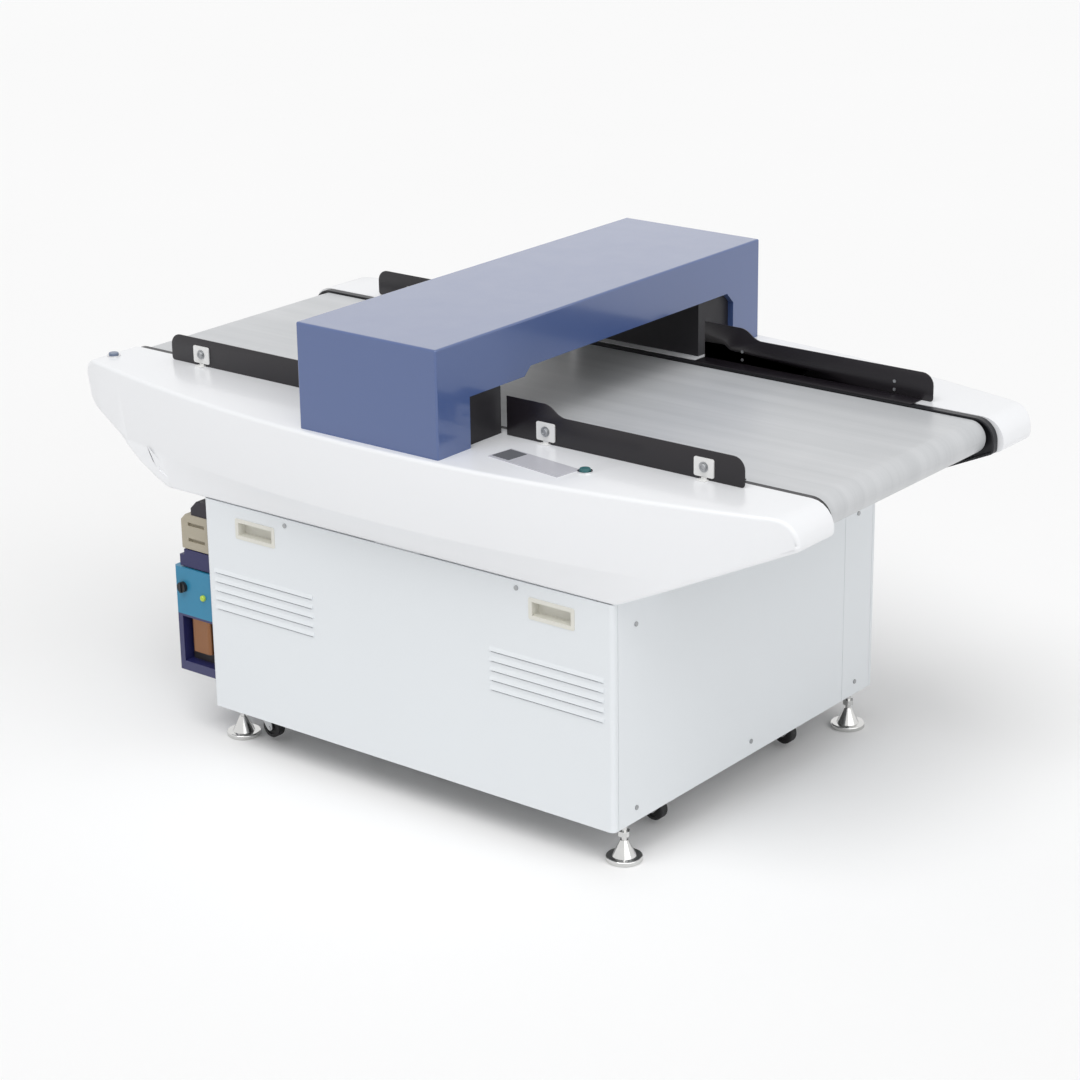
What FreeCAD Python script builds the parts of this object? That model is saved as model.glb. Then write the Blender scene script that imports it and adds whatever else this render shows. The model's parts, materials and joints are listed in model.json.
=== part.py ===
import FreeCAD, Part
import math
import os

# Conveyor metal detector: a needle-detector style machine for packed goods.
# A belt runs along X through a tunnel in a portal head, above a floor cabinet.
# Origin: on the floor under the middle of the cabinet. +X output end, -Y operator side, +Z up.
# All lengths are in millimetres.

V = FreeCAD.Vector

# ---- cabinet ----
cab_len = 1100.0            # along X
cab_wid = 960.0             # along Y
cab_bottom = 87.0          # floor to underside
cab_height = 483.0
panel_t = 2.0
corner_r = 10.0             # bend radius of the panels' vertical corners
seam = 1.0                  # gap between neighbouring panels
seam_inset = 16.0           # from the cabinet's face to the seam beside the corner bend
strip_wid = 110.0           # narrow fixed strip of the output end
tube = 40.0                 # square tube of the welded frame
tube_t = 2.5
top_rail_h = 30.0           # lower tube at the top, clear of the finger pulls
base_t = 3.0

# ---- front panel features ----
pull_x = cab_len / 2 - 150
pull_w = 114.0
pull_h = 46.0
pull_drop = 50.0            # cabinet top to the pull's centre
pull_depth = 22.0
pull_rim = 7.0
pull_wall = 1.5
louvre_x = cab_len / 2 - 166
louvre_len = 288.0
louvre_count = 5
louvre_pitch = 21.0
louvre_top = 155.0          # cabinet top to the upper louvre
louvre_rise = 3.0
louvre_h = 9.0
louvre_slot = 3.0
fastener_x = cab_len / 2 - 238
fastener_drop = 15.0
screw_r = 5.0
screw_h = 2.0
end_screw_y = cab_wid / 2 - 75
end_screw_low = 30.0        # cabinet underside to the lower end screws
end_screw_drop = 60.0       # cabinet top to the upper end screws

# ---- feet and castors ----
foot_y = cab_wid / 2 - 63
foot_r = 38.0
foot_neck_r = 8.0
foot_cone_r = 25.0
foot_rim_h = 11.0
foot_rim_round = 3.0
foot_cone_h = 34.0
stud_r = 6.0
stud_over = 14.0            # stud standing above its bush at rest
bush_r = 12.0
nut_across = 22.0
nut_h = 11.0
nut_gap = 22.0              # underside of the cabinet to the lock nut
castor_x = cab_len / 2 - 50
castor_y = cab_wid / 2 - 239
castor_x_in = cab_len / 2 - 78   # rigid castors of the input end, nearer the corners
castor_y_in = cab_wid / 2 - 80
wheel_r = 24.0
wheel_w = 22.0
wheel_clear = 10.0          # wheel to the floor while the feet carry the machine
castor_plate_t = 5.0
castor_trail = 22.0
castor_boss_r = 20.0
kingpin_r = 6.0
kingpin_head_r = 9.0
crown_r = 24.0
crown_t = 8.0
leg_t = 3.0
leg_gap = 2.0               # wheel side to the fork leg
axle_r = 4.0

# ---- clearances ----
fit = 0.06                  # radial clearance of a shaft in its bearing
touch = 0.3                 # between a moving curved face and what it runs beside

# ---- belt and rollers ----
belt_top = 808.0
belt_wid = 594.0
belt_t = 2.0
roller_r = 33.0
roller_x = 877.0
roller_len = belt_wid - 2
shaft_r = 10.0
drum_r = 60.0
drum_z = 627.0
snub_r = 25.0
bearing_r = 25.0
bearing_t = 8.0
bed_t = 4.0
bed_gap = 12.0              # bed plate to roller and to detector coil
crossbar_w = 40.0
crossbar_h = 20.0

# ---- side frames and consoles ----
frame_in = belt_wid / 2 + 4  # inner face of a side frame, from the middle
frame_wid = 15.0
frame_t = 4.0
frame_top = belt_top + 4
frame_tip = 929.0
frame_nose_r = 45.0
console_gap = 1.0           # side frame to console shell
console_top = belt_top + 5
console_tip = 943.0
console_nose_r = 50.0
console_keel_r = 14.0       # lower round of the output nose
console_chin_r = 55.0       # lower round of the deeper input nose
console_bow_mid = cab_wid / 2 + 95    # outer edge from the middle, at x = 0
console_bow_end = cab_wid / 2 - 38.5  # outer edge from the middle, at the nose tip
console_lean = 24.0         # outer wall leans in by this from top edge to crease
console_crease_z = 649.0
skirt_bow = 0.5             # slight bow of the console's lower edge on the cabinet
console_t = 3.0
console_edge_r = 10.0       # round of the outer top edge, in flat steps
console_edge_steps = 4
console_lip = 18.0          # return along the open inner side
rise_slope = 0.46           # rise of the underside per unit length
rise_in = 660.0             # where the underside starts to rise, input end
rise_out = 552.0            # the same, output end

# ---- detector head ----
head_len = 366.0
head_wid = cab_wid + 150
head_top = belt_top + 228
head_t = 2.5
head_edge_r = 4.0
tunnel_half = cab_wid / 2 - 25
tunnel_top = head_top - 99
tunnel_low = tunnel_top - 18          # lower ceiling over the operator's side
tunnel_step_y = 193 - tunnel_half
tunnel_step_run = 20.0
tunnel_chamfer = 24.0
flange_d = 14.0             # return of the head's sheet round the tunnel mouth
liner_t = 4.0
liner_wall_t = 3.0          # inner walls, in line with the side guides
coil_margin = 48.0          # head's face to the coil block
coil_h = 80.0
upright_x = 120.0
upright_t = 20.0
lower_coil_len = 280.0
lower_coil_h = 48.0

# ---- side guides ----
guide_y = frame_in + 44     # outer face
guide_t = 3.0
guide_h = 60.0
guide_hump = 82.0
guide_end = 760.0
guide_start_gap = 3.0       # head face to guide
guide_hump_end = 292.0
guide_hump_run = 30.0
guide_corner_r = 24.0
guide_foot_in = frame_in - 1  # inner edge of the guide's foot flange
bracket_x = (286.0, 668.0)
bracket_w = 46.0
bracket_h = 38.0
bracket_t = 2.5
bracket_lift = 6.0
bracket_stem = 12.0
guide_screw_z = (12.0, 30.0)
guide_screw_r = 3.5

# ---- drive ----
motor_x = 120.0
motor_z = 387.0
gearbox = 120.0
gearbox_d = 100.0
motor_r = 58.0
motor_l = 190.0
fan_cover_l = 45.0
motor_shaft_r = 9.0
motor_shaft_grip = 14.0
drum_pulley_r = 45.0
motor_pulley_r = 30.0
pulley_rim = 4.0
pulley_rim_t = 2.0
drive_belt_w = 14.0
drive_belt_t = 3.0
pulley_gap = 4.0            # side frame to pulley
stand_t = 5.0

# ---- controls ----
panel_pos = (343.0, 23 - cab_wid / 2)
panel_turn = -7.5
panel_l = 190.0
panel_w = 62.0
plate_t = 2.0
lens_l = 46.0
lens_w = 50.0
lens_t = 1.0
button_r = 11.0
button_h = 8.0
button_travel = 3.0
button_root = 8.0
collar_r = 15.0
collar_h = 3.0
start_button = (456.0, 39 - cab_wid / 2)
stop_button = (-885.0, 77 - cab_wid / 2)

# ---- open electrical chassis on the input end ----
chassis_t = 2.5
chassis_y = (8 - cab_wid / 2, 148 - cab_wid / 2)
chassis_z = (137.0, 553.0)
cage_out = 110.0
cage_z = (144.0, 278.0)
cage_y = (10 - cab_wid / 2, 135 - cab_wid / 2)
cage_side = 14.0
cage_floor = 22.0
cage_roof = 5.0
inverter_out = 116.0
inverter_h = 110.0
inverter_edge = 6.0
fin_count = 7
fin_d = 5.0
fin_gap = 8.0
knob_r = 12.0
knob_h = 9.0
knob_out = 88.0
knob_z = 343.0
lamp_r = 7.0
lamp_h = 6.0
lamp_out = 28.0
lamp_z = 329.0
relay_y = (cage_y[0] + 4, cage_y[1] - 7)
relay_notch = 14.0
relay_out = 98.0
relay_z = (391.0, 431.0)
contactor_y = (cage_y[0] + 6, cage_y[1] - 9)
contactor_bevel = 14.0
slot_inset = 22.0           # contactor top or bottom to the middle of its slot
slot_h = 8.0
slot_d = 6.0
contactor_out = 90.0
contactor_z = (433.0, 513.0)
cap_y = (cage_y[0] + 8, cage_y[1] - 11)
cap_bevel = 18.0
cap_out = 60.0
cap_h = 34.0
core_w = 84.0
core_leg = 12.0
core_yoke = 26.0
core_y = (cage_y[0] + 25, cage_y[1] - 20)
coil_y = (cage_y[0] + 8, cage_y[1] - 5)

# ---- values that follow ----
cab_x = cab_len / 2
cab_y = cab_wid / 2
cab_top = cab_bottom + cab_height
floor_z = cab_bottom + base_t           # top of the base plate
post_x = cab_x - panel_t                # outer faces of the welded frame
post_y = cab_y - panel_t
foot_x = post_x - tube / 2
roller_z = belt_top - belt_t - touch - roller_r
web_in = frame_in + frame_wid - frame_t
web_out = frame_in + frame_wid
console_in = web_out + console_gap
bed_top = belt_top - belt_t - touch
snub_x = drum_r + 2 * touch + belt_t + snub_r
snub_z = roller_z - roller_r - 2 * touch - belt_t - snub_r
pulley_y = web_out + pulley_gap
pulley_w = drive_belt_w + 2 * pulley_rim_t
head_x = head_len / 2
head_y = head_wid / 2
wheel_z = wheel_clear + wheel_r


def box(x0, x1, y0, y1, z0, z1):
    """A block between two corners."""
    return Part.makeBox(x1 - x0, y1 - y0, z1 - z0, V(x0, y0, z0))


def rod(radius, start, direction, length):
    return Part.makeCylinder(radius, length, V(*start), V(*direction))


def shaft_y(radius, x, z, y0, y1):
    """A round bar along Y."""
    return rod(radius, (x, y0, z), (0, 1, 0), y1 - y0)


def flip_x(shape):
    return shape.mirror(V(0, 0, 0), V(1, 0, 0))


def flip_y(shape):
    return shape.mirror(V(0, 0, 0), V(0, 1, 0))


def four_ways(shape):
    """The shape and its copies across both middle planes."""
    pair = [shape, flip_x(shape)]
    return pair + [flip_y(s) for s in pair]


def cut_all(shape, tools):
    for tool in tools:
        shape = shape.cut(tool)
    return shape


def fuse_all(shapes):
    whole = shapes[0]
    for shape in shapes[1:]:
        whole = whole.fuse(shape)
    return whole.removeSplitter()


def rounded_wire(corners, place):
    """A closed wire through (a, b, radius) corners with tangent arcs; place maps a, b to a point."""
    points = [place(a, b) for a, b, r in corners]
    ends = []
    for i, (a, b, radius) in enumerate(corners):
        here = points[i]
        back = (points[i - 1] - here).normalize()
        ahead = (points[(i + 1) % len(points)] - here).normalize()
        if radius <= 0:
            ends.append((here, None, here))
            continue
        half = back.getAngle(ahead) / 2
        run = radius / math.tan(half)
        mid = (back + ahead).normalize() * (radius / math.sin(half) - radius)
        ends.append((here + back * run, here + mid, here + ahead * run))
    edges = []
    for i, (arc_in, arc_mid, arc_out) in enumerate(ends):
        if arc_mid is not None:
            edges.append(Part.Arc(arc_in, arc_mid, arc_out).toShape())
        line_end = ends[(i + 1) % len(ends)][0]
        if arc_out.distanceToPoint(line_end) > 1e-6:
            edges.append(Part.makeLine(arc_out, line_end))
    return Part.Wire(edges)


def prism_y(corners, y0, y1):
    """An outline in X and Z, drawn out from y0 to y1."""
    face = Part.Face(rounded_wire(corners, lambda a, b: V(a, y0, b)))
    return face.extrude(V(0, y1 - y0, 0))


def prism_x(corners, x0, x1):
    """An outline in Y and Z, drawn out from x0 to x1."""
    face = Part.Face(rounded_wire(corners, lambda a, b: V(x0, a, b)))
    return face.extrude(V(x1 - x0, 0, 0))


def prism_z(corners, z0, z1):
    """An outline in X and Y, drawn out from z0 to z1."""
    face = Part.Face(rounded_wire(corners, lambda a, b: V(a, b, z0)))
    return face.extrude(V(0, 0, z1 - z0))


def upright_edges(shape):
    """Straight edges that run along Z."""
    found = []
    for edge in shape.Edges:
        size = edge.BoundBox
        if size.XLength < 1e-6 and size.YLength < 1e-6:
            found.append(edge)
    return found


def save(name, shapes):
    if isinstance(shapes, list):
        shapes = Part.makeCompound(shapes)
    shapes.exportStep("parts/" + name + ".step")


# ---------------------------------------------------------------- welded frame

def tube_x(x0, x1, y, z, high):
    """Tube along X; y and z are its low corner."""
    wall = tube_t
    return box(x0, x1, y, y + tube, z, z + high).cut(
        box(x0, x1, y + wall, y + tube - wall, z + wall, z + high - wall))


def tube_y(x, y0, y1, z, high):
    wall = tube_t
    return box(x, x + tube, y0, y1, z, z + high).cut(
        box(x + wall, x + tube - wall, y0, y1, z + wall, z + high - wall))


def frame_post():
    outer = box(post_x - tube, post_x, post_y - tube, post_y, floor_z, cab_top)
    outer = outer.makeFillet(corner_r - panel_t, upright_edges(outer))
    inner = box(post_x - tube + tube_t, post_x - tube_t,
                post_y - tube + tube_t, post_y - tube_t, floor_z, cab_top)
    return outer.cut(inner.makeFillet(corner_r - panel_t - tube_t, upright_edges(inner)))


def foot_bush(x, y, radius=bush_r):
    return rod(radius, (x, y, cab_bottom), (0, 0, 1), base_t + tube)


def frame_rails():
    """Bottom and top rails between the posts; the bottom cross rails carry the foot bushes."""
    inner_x = post_x - tube
    inner_y = post_y - tube
    top_z = cab_top - top_rail_h
    rails = []
    for z, high in ((floor_z, tube), (top_z, top_rail_h)):
        for y in (-post_y, inner_y):
            rails.append(tube_x(-inner_x, inner_x, y, z, high))
    for x in (-post_x, inner_x):
        rails.append(tube_y(x, -inner_y, inner_y, top_z, top_rail_h))
        rail = tube_y(x, -inner_y, inner_y, floor_z, tube)
        middle = x + tube / 2
        for y in (-foot_y, foot_y):
            bush = foot_bush(middle, y)
            bore = rod(stud_r + fit, (middle, y, cab_bottom), (0, 0, 1), base_t + tube)
            rail = rail.fuse(bush).cut(bore)
        rails.append(rail)
    return rails


save("frame_posts", four_ways(frame_post()))
save("frame_rails", frame_rails())

base_plate = box(-post_x, post_x, -post_y, post_y, cab_bottom, floor_z)
base_plate = base_plate.makeFillet(corner_r - panel_t, upright_edges(base_plate))
save("base_plate", cut_all(base_plate, four_ways(foot_bush(foot_x, foot_y))))


# ---------------------------------------------------------------- cabinet panels

def cabinet_skin():
    outer = box(-cab_x, cab_x, -cab_y, cab_y, cab_bottom, cab_top)
    inner = box(-post_x, post_x, -post_y, post_y, cab_bottom, cab_top)
    outer = outer.makeFillet(corner_r, upright_edges(outer))
    return outer.cut(inner.makeFillet(corner_r - panel_t, upright_edges(inner)))


pull_z = cab_top - pull_drop


def louvres(side):
    """Raised louvres with a slot under each, on the panel face at y = side * cab_y."""
    ribs = []
    slots = []
    for middle in (-louvre_x, louvre_x):
        for i in range(louvre_count):
            z = cab_top - louvre_top - i * louvre_pitch
            y = side * cab_y
            section = [(y, z, 0), (y + side * louvre_rise, z - louvre_h, 0), (y, z - louvre_h, 0)]
            half = louvre_len / 2
            ribs.append(prism_x(section, middle - half, middle + half))
            slots.append(box(middle - half + 4, middle + half - 4,
                             min(y, y - side * panel_t), max(y, y - side * panel_t),
                             z - louvre_h - louvre_slot, z - louvre_h))
    return ribs, slots


def long_panel(side):
    """Front or rear panel: bent corners, two openings for the pulls, two groups of louvres."""
    limit = cab_y - seam_inset + seam / 2
    keep = box(-cab_x, cab_x, limit, cab_y, cab_bottom, cab_top)
    if side < 0:
        keep = flip_y(keep)
    panel = cabinet_skin().common(keep)
    ribs, slots = louvres(side)
    panel = cut_all(panel, slots)
    for x in (-pull_x, pull_x):
        half_w = pull_w / 2 - pull_rim
        half_h = pull_h / 2 - pull_rim
        panel = panel.cut(box(x - half_w, x + half_w, -cab_y, cab_y,
                              pull_z - half_h, pull_z + half_h))
    return fuse_all([panel] + ribs)


save("front_panel", long_panel(-1))
save("rear_panel", long_panel(1))

side_limit = cab_y - seam_inset - seam / 2
strip_edge = side_limit - strip_wid
end_skin = cabinet_skin()
save("input_end_panel", end_skin.common(
    box(-cab_x, 0, -side_limit, side_limit, cab_bottom, cab_top)))
save("output_end_panel", [
    end_skin.common(box(0, cab_x, -side_limit, strip_edge, cab_bottom, cab_top)),
    end_skin.common(box(0, cab_x, strip_edge + seam, side_limit, cab_bottom, cab_top))])


def flush_pull(x, side):
    """Moulded finger cup: a rim on the panel and a cup behind it, open to the outside."""
    y = side * cab_y
    half_w = pull_w / 2
    half_h = pull_h / 2
    rim = [(x - half_w, pull_z - half_h, 4), (x + half_w, pull_z - half_h, 4),
           (x + half_w, pull_z + half_h, 4), (x - half_w, pull_z + half_h, 4)]
    in_w = half_w - pull_rim
    in_h = half_h - pull_rim
    cup = box(x - in_w, x + in_w, -pull_depth, 0, pull_z - in_h, pull_z + in_h)
    body = prism_y(rim, 0, 1.5).fuse(cup)
    hollow = box(x - in_w + pull_wall, x + in_w - pull_wall, -pull_depth + pull_wall, 2,
                 pull_z - in_h + pull_wall, pull_z + in_h - pull_wall)
    body = body.cut(hollow).removeSplitter()
    if side < 0:
        body = flip_y(body)
    return body.translate(V(0, y, 0))


save("flush_pulls", [flush_pull(x, side) for side in (-1, 1) for x in (-pull_x, pull_x)])


def panel_screws():
    """Heads of the panel screws on the four faces."""
    heads = []
    z = cab_top - fastener_drop
    for x in (-fastener_x, fastener_x):
        heads.append(rod(screw_r, (x, -cab_y, z), (0, -1, 0), screw_h))
        heads.append(rod(screw_r, (x, cab_y, z), (0, 1, 0), screw_h))
    low = cab_bottom + end_screw_low
    high = cab_top - end_screw_drop
    for side in (-1, 1):
        x = side * cab_x
        for y, z in ((-end_screw_y, low), (0, low), (end_screw_y, low), (end_screw_y, high)):
            heads.append(rod(screw_r, (x, y, z), (side, 0, 0), screw_h))
    heads.append(rod(screw_r, (cab_x, -end_screw_y, high), (1, 0, 0), screw_h))
    return heads


# ---------------------------------------------------------------- feet and castors

def levelling_foot(x, y):
    """Cone-shaped pad on a stud with its lock nut."""
    top = cab_bottom + base_t + tube + stud_over
    pad = rod(foot_r, (x, y, 0), (0, 0, 1), foot_rim_h)
    pad = pad.makeFillet(foot_rim_round, [e for e in pad.Edges if e.BoundBox.ZLength < 1e-6])
    cone = Part.makeCone(foot_cone_r, foot_neck_r, foot_cone_h, V(x, y, foot_rim_h))
    stud_start = foot_rim_h + foot_cone_h
    stud = rod(stud_r, (x, y, stud_start), (0, 0, 1), top - stud_start)
    nut_top = cab_bottom - nut_gap
    corner = nut_across / 2 / math.cos(math.radians(30))
    hexagon = []
    for i in range(6):
        turn = math.radians(60 * i)
        hexagon.append((x + corner * math.cos(turn), y + corner * math.sin(turn), 0))
    nut = prism_z(hexagon, nut_top - nut_h, nut_top)
    return fuse_all([pad, cone, stud, nut])


for end, x in (("input", -foot_x), ("output", foot_x)):
    for side, y in (("near", -foot_y), ("far", foot_y)):
        save("foot_" + side + "_" + end, levelling_foot(x, y))

boss_z = cab_bottom - castor_plate_t
crown_top = boss_z - 9
crown_z = crown_top - crown_t
wheel_side = wheel_w / 2


def castor_leg(x, y0, crown):
    """One tapered side plate of a castor fork, from its crown to the axle."""
    hub = x - castor_trail
    outline = [(x + 16, crown, 0), (x - 22, crown, 0), (hub - 9, wheel_z, 8),
               (hub, wheel_z - 10, 8), (hub + 9, wheel_z, 8)]
    return prism_y(outline, y0, y0 + leg_t)


def castor_fork(x, y, crown):
    """Both legs and the axle; the crown that joins them differs between castors."""
    gap = wheel_side + leg_gap
    legs = [castor_leg(x, y + gap, crown), castor_leg(x, y - gap - leg_t, crown)]
    axle = shaft_y(axle_r, x - castor_trail, wheel_z, y - gap - leg_t - 2, y + gap + leg_t + 2)
    return legs + [axle]


def castor_plate(x, y):
    return box(x - 40, x + 40, y - 30, y + 30, boss_z, cab_bottom)


def castor_wheel(x, y):
    hub = x - castor_trail
    tyre = shaft_y(wheel_r, hub, wheel_z, y - wheel_side, y + wheel_side)
    tyre = tyre.makeFillet(3, [e for e in tyre.Edges if e.BoundBox.YLength < 1e-6])
    for start in (y - wheel_side, y + wheel_side - 3):
        groove = shaft_y(16, hub, wheel_z, start, start + 3)
        tyre = tyre.cut(groove.cut(shaft_y(8, hub, wheel_z, start, start + 3)))
    return tyre.cut(shaft_y(axle_r + fit, hub, wheel_z, y - wheel_side, y + wheel_side))


castor_plates = []
for side, sign in (("near", -1), ("far", 1)):
    # output end: swivel castor, whose kingpin hangs from the plate
    x = castor_x
    y = sign * castor_y
    boss = rod(castor_boss_r, (x, y, crown_top + touch), (0, 0, 1), boss_z - crown_top - touch)
    pin = rod(kingpin_r, (x, y, crown_z - 6), (0, 0, 1), boss_z - crown_z + 6)
    pin_head = rod(kingpin_head_r, (x, y, crown_z - 6), (0, 0, 1), 6 - touch)
    castor_plates.append(fuse_all([castor_plate(x, y), boss, pin, pin_head]))
    crown = rod(crown_r, (x, y, crown_z), (0, 0, 1), crown_t)
    block = box(x - 22, x + 16, y - wheel_side - leg_gap - leg_t,
                y + wheel_side + leg_gap + leg_t, crown_z, crown_top)
    crown = crown.fuse(block).cut(rod(kingpin_r + fit, (x, y, crown_z), (0, 0, 1), crown_t))
    save("castor_fork_" + side, fuse_all([crown] + castor_fork(x, y, crown_z)))
    save("castor_wheel_" + side + "_output", castor_wheel(x, y))
    # input end: rigid castor, whose fork is welded to the plate
    x = castor_x_in
    y = sign * castor_y_in
    save("castor_wheel_" + side + "_input", flip_x(castor_wheel(x, y)))
    castor_plates.append(flip_x(fuse_all([castor_plate(x, y)] + castor_fork(x, y, boss_z))))
save("castor_plates", castor_plates)


# ---------------------------------------------------------------- consoles and side frames

def boat_profile(inset, tip, top, nose_r, bottom):
    """Side view shared by the consoles and side frames: flat top, round noses, rising ends."""
    tilt = math.hypot(1, rise_slope)
    tip = tip - inset
    top = top - inset
    floor = bottom + inset

    def keel(start):
        """Where the floor meets the rising underside, moved inwards by the inset."""
        return start + (inset - inset * tilt) / rise_slope

    def low_z(start):
        return bottom + rise_slope * (tip - start) + inset * tilt

    room = top - low_z(rise_out)
    nose = max(min(nose_r - inset, 0.8 * room), 5)
    return [(-keel(rise_in), floor, 30), (-tip, low_z(rise_in), max(console_chin_r - inset, 5)),
            (-tip, top, nose), (tip, top, nose),
            (tip, low_z(rise_out), max(console_keel_r - inset, 5)), (keel(rise_out), floor, 30)]


def bow_wire(z, y_in, y_mid, y_end, reach):
    """Plan outline at one height: straight inner side, bowed outer side."""
    a, b = V(-reach, -y_in, z), V(reach, -y_in, z)
    c, d = V(reach, -y_end, z), V(-reach, -y_end, z)
    outer = Part.Arc(c, V(0, -y_mid, z), d).toShape()
    return Part.Wire([Part.makeLine(a, b), Part.makeLine(b, c), outer, Part.makeLine(d, a)])


def console_body(inset):
    """Solid of the boat-shaped console, operator side, shrunk by the inset on every face."""
    reach = console_tip
    y_in = console_in + inset
    mid = console_bow_mid - inset
    end = console_bow_end - inset
    skirt = cab_y - inset
    low = bow_wire(cab_top + inset, y_in, skirt + skirt_bow, skirt, reach)
    crease = bow_wire(console_crease_z, y_in, mid - console_lean, end - console_lean, reach)
    sections = [low, crease]
    radius = console_edge_r - inset
    for step in range(console_edge_steps + 1):
        turn = math.radians(90 * step / console_edge_steps)
        z = console_top - inset - radius * (1 - math.sin(turn))
        back = radius * (1 - math.cos(turn))
        sections.append(bow_wire(z, y_in, mid - back, end - back, reach))
    bands = [Part.makeLoft([low, high], True, True) for low, high in zip(sections, sections[1:])]
    whole = fuse_all(bands)
    profile = boat_profile(inset, console_tip, console_top, console_nose_r, cab_top)
    return whole.common(prism_y(profile, -console_bow_mid, 0))


def console_shell():
    shell = console_body(0).cut(console_body(console_t))
    # the inner side is open, with a lip all round that the side frame covers
    window = boat_profile(console_lip, console_tip, console_top, console_nose_r, cab_top)
    shell = shell.cut(prism_y(window, -console_in - console_t, -console_in))
    # over the cabinet the floor is open for the drive and wiring
    reach = cab_x - 2 * tube
    shell = shell.cut(box(-reach, reach, -post_y + tube + 8, -console_in - console_t,
                          cab_top, cab_top + console_t))
    # the head's uprights pass through
    slot = box(-upright_x / 2 - 1, upright_x / 2 + 1, -tunnel_half - 3 - upright_t, -tunnel_half - 1,
               cab_top, console_top)
    return shell.cut(slot)


button_places = (start_button, stop_button)
far_shell = flip_y(console_shell())
near_shell = cut_all(console_shell(), [
    rod(button_r + 2, (x, y, console_top - console_edge_r), (0, 0, 1), console_edge_r)
    for x, y in button_places])
save("near_console", near_shell)
save("far_console", far_shell)


def side_frame():
    """Pressed side frame of the conveyor, operator side: a web with a flange all round."""
    outline = boat_profile(0, frame_tip, frame_top, frame_nose_r, cab_top)
    pocket = boat_profile(frame_t, frame_tip, frame_top, frame_nose_r, cab_top)
    body = prism_y(outline, -web_out, -frame_in)
    return body.cut(prism_y(pocket, -web_in, -frame_in))


drum_hole = shaft_y(shaft_r + 3, 0, drum_z, web_in, web_out)
save("near_side_frame", side_frame())
save("far_side_frame", flip_y(side_frame()).cut(drum_hole))


# ---------------------------------------------------------------- conveyor

def belt_path(depth):
    """Belt outline; depth is 0 at the face that touches the rollers, belt_t at the outer face."""
    end_r = roller_r + touch + depth
    x = roller_x + end_r
    high = roller_z + end_r
    low = roller_z - end_r
    drum = drum_r + touch + depth
    snub = snub_r + touch + belt_t - depth
    return [(-x, high, end_r), (x, high, end_r), (x, low, end_r), (drum, low, snub),
            (drum, drum_z - drum, drum), (-drum, drum_z - drum, drum), (-drum, low, snub),
            (-x, low, end_r)]


belt_y = belt_wid / 2
belt = prism_y(belt_path(belt_t), -belt_y, belt_y).cut(prism_y(belt_path(0), -belt_y, belt_y))
save("conveyor_belt", belt)

roller_y = roller_len / 2
shaft_end = web_in - 0.5


def roller(radius, x, z):
    barrel = shaft_y(radius, x, z, -roller_y, roller_y)
    return barrel.fuse(shaft_y(shaft_r, x, z, -shaft_end, shaft_end))


def pulley(radius, x, z):
    """Flat pulley with two rims, on the far side of the far side frame."""
    rim_end = pulley_y + pulley_w
    body = shaft_y(radius, x, z, pulley_y, rim_end)
    for y in (pulley_y, rim_end - pulley_rim_t):
        body = body.fuse(shaft_y(radius + pulley_rim, x, z, y, y + pulley_rim_t))
    return body


save("output_roller", roller(roller_r, roller_x, roller_z))
save("input_roller", roller(roller_r, -roller_x, roller_z))
save("output_snub_roller", roller(snub_r, snub_x, snub_z))
save("input_snub_roller", roller(snub_r, -snub_x, snub_z))
save("drive_drum", fuse_all([
    roller(drum_r, 0, drum_z), pulley(drum_pulley_r, 0, drum_z),
    shaft_y(shaft_r, 0, drum_z, shaft_end, pulley_y + pulley_w)]))

bearings = []
for x, z in ((roller_x, roller_z), (-roller_x, roller_z), (snub_x, snub_z), (-snub_x, snub_z),
             (0, drum_z)):
    ring = shaft_y(bearing_r, x, z, web_in - bearing_t, web_in)
    ring = ring.cut(shaft_y(shaft_r + fit, x, z, web_in - bearing_t, web_in))
    bearings += [ring, flip_y(ring)]
save("roller_bearings", bearings)

bed_start = lower_coil_len / 2 + bed_gap
bed_end = roller_x - roller_r - bed_gap
bed_plate = box(bed_start, bed_end, -frame_in + 1, frame_in - 1, bed_top - bed_t, bed_top)
save("slider_bed", [bed_plate, flip_x(bed_plate)])

bars = []
for x in (bed_start + crossbar_w / 2, (bed_start + bed_end) / 2, bed_end - crossbar_w / 2):
    bar = box(x - crossbar_w / 2, x + crossbar_w / 2, -web_in, web_in,
              bed_top - bed_t - crossbar_h, bed_top - bed_t)
    bars += [bar, flip_x(bar)]
save("bed_crossbars", bars)

bulkhead_top = roller_z - roller_r - touch - belt_t - 5
bulkhead = box(post_x - 18, post_x - 15, -frame_in, frame_in, cab_top, bulkhead_top)
save("bulkheads", [bulkhead, flip_x(bulkhead)])


# ---------------------------------------------------------------- detector head

def tunnel_outline(inset):
    """Mouth of the tunnel in Y and Z: lower ceiling on the operator's side, one cut corner."""
    side = tunnel_half - inset
    top = tunnel_top - inset
    low = tunnel_low - inset
    step = tunnel_step_y + inset / 2
    floor = console_top
    return [(-side, floor, 0), (-side, low, 0), (step - tunnel_step_run, low, 0), (step, top, 0),
            (side - tunnel_chamfer, top, 0), (side, top - tunnel_chamfer, 0), (side, floor, 0)]


def head_cover():
    """Sheet-metal portal cover, open below, with a return round both tunnel mouths."""
    outer = box(-head_x, head_x, -head_y, head_y, console_top, head_top)
    edges = upright_edges(outer)
    edges += [e for e in outer.Edges if e.BoundBox.ZMin > head_top - 1e-6]
    outer = outer.makeFillet(head_edge_r, edges)
    inner = box(-head_x + head_t, head_x - head_t, -head_y + head_t, head_y - head_t,
                console_top, head_top - head_t)
    cover = outer.cut(inner)
    flange_start = head_x - flange_d
    ring = prism_x(tunnel_outline(-head_t), flange_start, head_x - head_t)
    cover = fuse_all([cover, ring, flip_x(ring)])
    return cover.cut(prism_x(tunnel_outline(0), -head_x, head_x))


save("head_cover", head_cover())

liner_x = head_x - flange_d


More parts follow.
